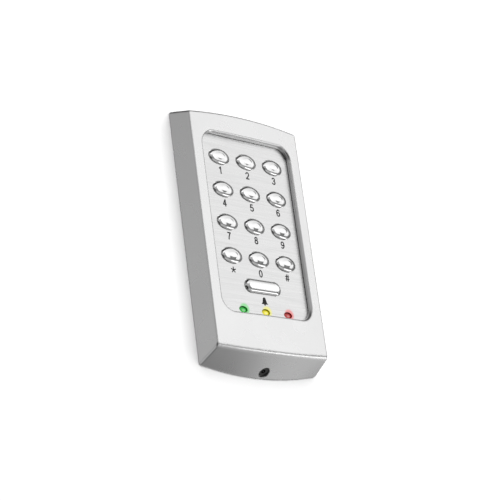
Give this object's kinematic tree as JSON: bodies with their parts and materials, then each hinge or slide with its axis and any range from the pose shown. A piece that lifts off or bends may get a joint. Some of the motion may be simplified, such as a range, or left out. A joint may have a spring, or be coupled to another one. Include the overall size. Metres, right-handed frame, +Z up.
{
  "type": "keypad access reader",
  "caption": "Slim wall-mounted keypad access reader: silver cast housing, recessed brushed plate, domed chrome keys, three indicator lights and a bottom retaining screw.",
  "frame": {"origin": "middle of the wall plate's four screw holes, in the plane of the wall", "axes": "+Z up along the long side, +Y into the wall, keys face -Y, +X to the right as seen from the front"},
  "size_m": [0.075, 0.0144, 0.1396],
  "materials": {
    "silver_paint": "satin silver lacquer on a casting",
    "black_rubber": "matte",
    "brushed_plate": "fine horizontal brushing",
    "ink": "screen printed, matte",
    "black_plastic": "moulded, fine texture",
    "grey_silicone": "matte silicone",
    "gold_plate": "plated",
    "board_green": "solder mask",
    "zinc_steel": "zinc plated",
    "chip_black": "moulded epoxy",
    "tin_can": "satin can",
    "sounder_black": "matte",
    "chip_ceramic": "ceramic",
    "header_white": "moulded nylon",
    "wall_steel": "zinc plated sheet",
    "dark_steel": "blackened steel",
    "chrome": "polished",
    "lens_green": "translucent, lit",
    "lens_yellow": "translucent, lit",
    "lens_red": "translucent, lit",
    "led_body": "moulded"
  },
  "bodies": {
    "housing": {"back_plate": "wall_steel", "board_screws": "zinc_steel", "cable_grommet": "black_rubber", "chip_parts": "chip_ceramic", "circuit_board": "board_green", "contact_pads": "gold_plate", "crystal": "tin_can", "face_plate": "brushed_plate", "front_housing": "silver_paint", "header_pins": "gold_plate", "key_guide": "black_plastic", "key_mat": "grey_silicone", "led_green": "led_body", "led_red": "led_body", "led_yellow": "led_body", "legend_ink": "ink", "lens_green": "lens_green", "lens_red": "lens_red", "lens_yellow": "lens_yellow", "plate_gasket": "black_rubber", "processor": "chip_black", "retaining_screw": "dark_steel", "sounder": "sounder_black", "voltage_regulator": "chip_black", "wire_header": "header_white"},
    "key_1": {"key_1": "chrome"},
    "key_2": {"key_2": "chrome"},
    "key_3": {"key_3": "chrome"},
    "key_4": {"key_4": "chrome"},
    "key_5": {"key_5": "chrome"},
    "key_6": {"key_6": "chrome"},
    "key_7": {"key_7": "chrome"},
    "key_8": {"key_8": "chrome"},
    "key_9": {"key_9": "chrome"},
    "key_star": {"key_star": "chrome"},
    "key_0": {"key_0": "chrome"},
    "key_hash": {"key_hash": "chrome"},
    "key_bell": {"key_bell": "chrome"}
  },
  "joints": [
    {"name": "key_1_press", "type": "slide", "parent": "housing", "child": "key_1", "axis": [0, 1, 0], "range_m": [0, 0.0007], "stiffness_N_per_m": 1500, "springref_m": -0.0004, "deforming": ["key_mat"]},
    {"name": "key_2_press", "type": "slide", "parent": "housing", "child": "key_2", "axis": [0, 1, 0], "range_m": [0, 0.0007], "stiffness_N_per_m": 1500, "springref_m": -0.0004, "deforming": ["key_mat"]},
    {"name": "key_3_press", "type": "slide", "parent": "housing", "child": "key_3", "axis": [0, 1, 0], "range_m": [0, 0.0007], "stiffness_N_per_m": 1500, "springref_m": -0.0004, "deforming": ["key_mat"]},
    {"name": "key_4_press", "type": "slide", "parent": "housing", "child": "key_4", "axis": [0, 1, 0], "range_m": [0, 0.0007], "stiffness_N_per_m": 1500, "springref_m": -0.0004, "deforming": ["key_mat"]},
    {"name": "key_5_press", "type": "slide", "parent": "housing", "child": "key_5", "axis": [0, 1, 0], "range_m": [0, 0.0007], "stiffness_N_per_m": 1500, "springref_m": -0.0004, "deforming": ["key_mat"]},
    {"name": "key_6_press", "type": "slide", "parent": "housing", "child": "key_6", "axis": [0, 1, 0], "range_m": [0, 0.0007], "stiffness_N_per_m": 1500, "springref_m": -0.0004, "deforming": ["key_mat"]},
    {"name": "key_7_press", "type": "slide", "parent": "housing", "child": "key_7", "axis": [0, 1, 0], "range_m": [0, 0.0007], "stiffness_N_per_m": 1500, "springref_m": -0.0004, "deforming": ["key_mat"]},
    {"name": "key_8_press", "type": "slide", "parent": "housing", "child": "key_8", "axis": [0, 1, 0], "range_m": [0, 0.0007], "stiffness_N_per_m": 1500, "springref_m": -0.0004, "deforming": ["key_mat"]},
    {"name": "key_9_press", "type": "slide", "parent": "housing", "child": "key_9", "axis": [0, 1, 0], "range_m": [0, 0.0007], "stiffness_N_per_m": 1500, "springref_m": -0.0004, "deforming": ["key_mat"]},
    {"name": "key_star_press", "type": "slide", "parent": "housing", "child": "key_star", "axis": [0, 1, 0], "range_m": [0, 0.0007], "stiffness_N_per_m": 1500, "springref_m": -0.0004, "deforming": ["key_mat"]},
    {"name": "key_0_press", "type": "slide", "parent": "housing", "child": "key_0", "axis": [0, 1, 0], "range_m": [0, 0.0007], "stiffness_N_per_m": 1500, "springref_m": -0.0004, "deforming": ["key_mat"]},
    {"name": "key_hash_press", "type": "slide", "parent": "housing", "child": "key_hash", "axis": [0, 1, 0], "range_m": [0, 0.0007], "stiffness_N_per_m": 1500, "springref_m": -0.0004, "deforming": ["key_mat"]},
    {"name": "key_bell_press", "type": "slide", "parent": "housing", "child": "key_bell", "axis": [0, 1, 0], "range_m": [0, 0.0007], "stiffness_N_per_m": 1500, "springref_m": -0.0004, "deforming": ["key_mat"]}
  ]
}
